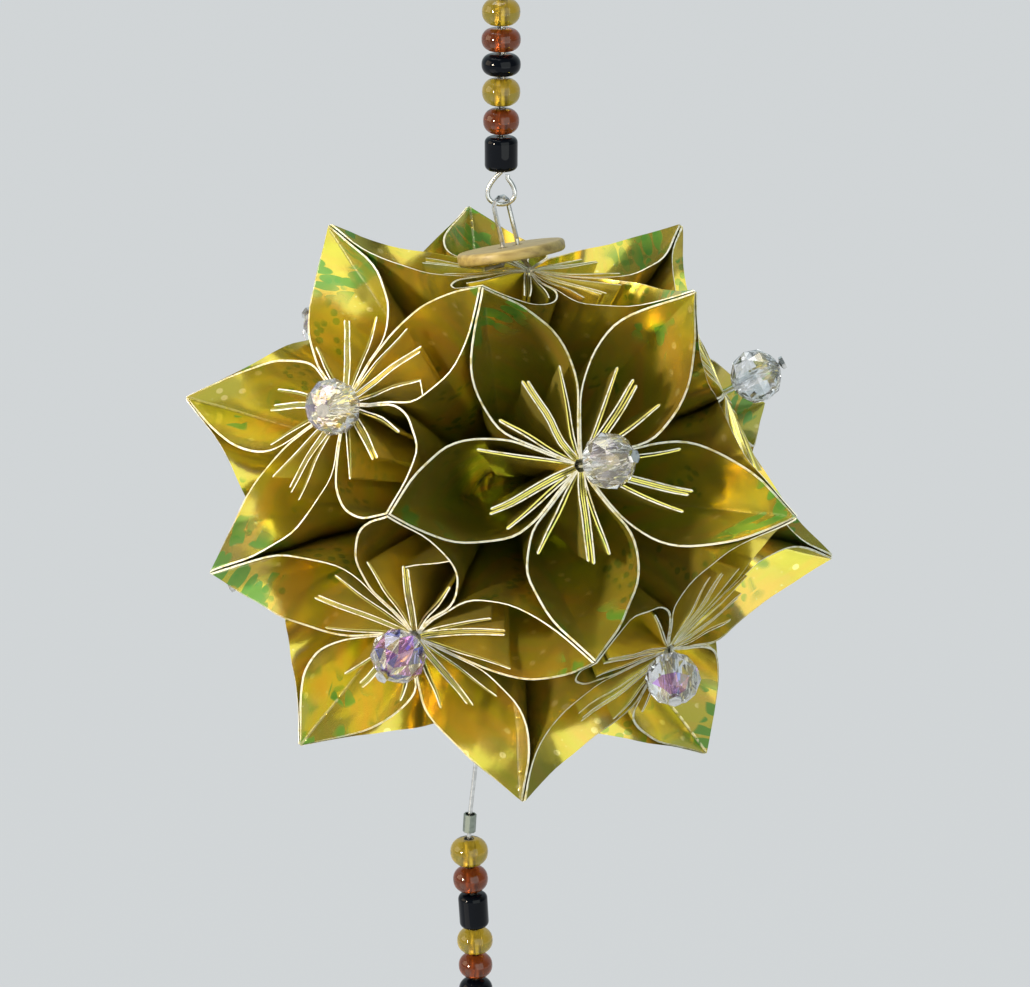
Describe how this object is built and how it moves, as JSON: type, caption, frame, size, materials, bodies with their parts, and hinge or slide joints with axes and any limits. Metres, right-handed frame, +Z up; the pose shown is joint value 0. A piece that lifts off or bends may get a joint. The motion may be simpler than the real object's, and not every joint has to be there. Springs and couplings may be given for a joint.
{
  "type": "kusudama paper ball",
  "caption": "Hanging kusudama ball of folded gold foil-paper petals glued into flowers, with a faceted bead in each flower and beaded wires above and below.",
  "frame": {"origin": "inner top of the hanging loop, where a hook bears", "axes": "+Z up along the hanging wire; -Y towards the pictured side; +X to the right in that view"},
  "size_m": [0.068, 0.0664, 0.1194],
  "materials": {
    "gold_foil_paper": "metallic gold foil with a green printed pattern; white paper core shows at cut edges",
    "cut_glass": "clear, faceted, with a pearly rainbow coating",
    "silver_wire": "bright silver wire",
    "pale_wood": "pale, fine grained, lightly polished",
    "dull_metal": "dull grey-green plated crimp",
    "yellow_glass": "silver-lined yellow glass, glossy",
    "amber_glass": "silver-lined amber glass, glossy",
    "black_glass": "opaque black glass, glossy"
  },
  "bodies": {
    "root": {"flower_top": "gold_foil_paper", "flower_bottom": "gold_foil_paper", "flower_front": "gold_foil_paper", "flower_right": "gold_foil_paper", "flower_back_right": "gold_foil_paper", "flower_back_left": "gold_foil_paper", "flower_left": "gold_foil_paper", "flower_lower_right": "gold_foil_paper", "flower_lower_back_right": "gold_foil_paper", "flower_lower_back": "gold_foil_paper", "flower_lower_left": "gold_foil_paper", "flower_lower_front": "gold_foil_paper", "crystal_front": "cut_glass", "crystal_right": "cut_glass", "crystal_back_right": "cut_glass", "crystal_back_left": "cut_glass", "crystal_left": "cut_glass", "crystal_lower_right": "cut_glass", "crystal_lower_back_right": "cut_glass", "crystal_lower_back": "cut_glass", "crystal_lower_left": "cut_glass", "crystal_lower_front": "cut_glass", "pin_front": "silver_wire", "pin_right": "silver_wire", "pin_back_right": "silver_wire", "pin_back_left": "silver_wire", "pin_left": "silver_wire", "pin_lower_right": "silver_wire", "pin_lower_back_right": "silver_wire", "pin_lower_back": "silver_wire", "pin_lower_left": "silver_wire", "pin_lower_front": "silver_wire", "button": "pale_wood", "link_and_core_wire": "silver_wire", "upper_wire": "silver_wire", "upper_crimp": "dull_metal", "upper_bead_1_black_long": "black_glass", "upper_bead_2_amber": "amber_glass", "upper_bead_3_yellow": "yellow_glass", "upper_bead_4_black": "black_glass", "upper_bead_5_amber": "amber_glass", "upper_bead_6_yellow": "yellow_glass", "lower_wire": "silver_wire", "lower_crimp": "dull_metal", "lower_end_crimp": "dull_metal", "lower_bead_1_yellow": "yellow_glass", "lower_bead_2_amber": "amber_glass", "lower_bead_3_black_long": "black_glass", "lower_bead_4_yellow": "yellow_glass", "lower_bead_5_amber": "amber_glass", "lower_bead_6_black": "black_glass"}
  },
  "joints": []
}
